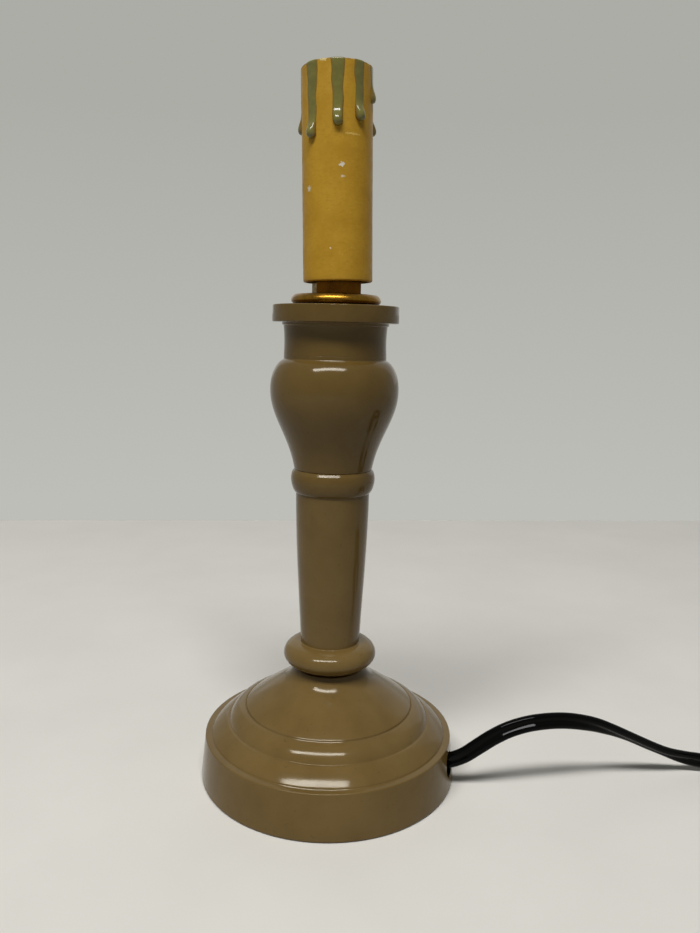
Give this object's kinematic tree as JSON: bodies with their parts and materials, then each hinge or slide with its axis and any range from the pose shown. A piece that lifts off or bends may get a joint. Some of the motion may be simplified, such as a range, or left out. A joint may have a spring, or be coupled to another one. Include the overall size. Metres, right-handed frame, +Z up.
{
  "type": "accent lamp",
  "caption": "Candlestick accent lamp: stepped round base, turned column, brass ring and nut, dripping-wax candle sleeve over a small screw socket, flat twin cord with switch and plug.",
  "frame": {"origin": "centre of the base's underside, on the surface that the lamp stands on", "axes": "+Z up along the column; the viewer of the picture is on the -Y side; the cord leaves towards +X"},
  "size_m": [0.3208, 0.0903, 0.2313],
  "materials": {
    "painted_wood": "semi-gloss tan paint on turned wood",
    "brass": "polished, lightly toned",
    "plated_steel": "zinc plated",
    "felt": "pressed felt",
    "candle_paint": "mottled satin mustard",
    "wax": "glossy olive drips",
    "paper": "rolled insulating paper",
    "phenolic": "moulded, satin",
    "cord_vinyl": "glossy flat twin lead",
    "hard_plastic": "moulded, semi-gloss"
  },
  "bodies": {
    "root": {"base": "painted_wood", "column": "painted_wood", "check_ring": "brass", "hex_nut": "brass", "terminal_screw_live": "brass", "screw_shell": "brass", "center_contact": "brass", "plug_blade_live": "brass", "plug_blade_neutral": "brass", "threaded_pipe": "plated_steel", "base_washer": "plated_steel", "base_lock_nut": "plated_steel", "socket_leg": "plated_steel", "leg_rivet": "plated_steel", "terminal_screw_neutral": "plated_steel", "switch_screw": "plated_steel", "felt_pad": "felt", "socket_body": "phenolic", "cord_inner": "cord_vinyl", "lead_live": "cord_vinyl", "lead_neutral": "cord_vinyl", "cord_run": "cord_vinyl", "cord_tail": "cord_vinyl", "cord_coil": "cord_vinyl", "coil_tie": "hard_plastic", "switch_lower_half": "hard_plastic", "switch_upper_half": "hard_plastic", "plug_body": "hard_plastic"},
    "liner": {"insulating_liner": "paper"},
    "cover": {"candle_cover": "candle_paint", "wax_run_1": "wax", "wax_run_2": "wax", "wax_run_3": "wax", "wax_run_4": "wax", "wax_run_5": "wax", "wax_run_6": "wax", "wax_run_7": "wax", "wax_run_8": "wax", "wax_run_9": "wax"},
    "wheel": {"switch_wheel": "hard_plastic"}
  },
  "joints": [
    {"name": "cover_turn", "type": "hinge", "parent": "root", "child": "liner", "pos_m": [-0.00031, 0, 0.19999], "axis": [-0.0225, 0, 0.9997], "continuous": true},
    {"name": "cover_lift", "type": "slide", "parent": "liner", "child": "cover", "axis": [-0.0225, 0, 0.9997], "range_m": [-0.00305, 0.062]},
    {"name": "switch_turn", "type": "hinge", "parent": "root", "child": "wheel", "pos_m": [0.17383, -0.00799, 0.0107], "axis": [0, 0, 1], "continuous": true}
  ]
}
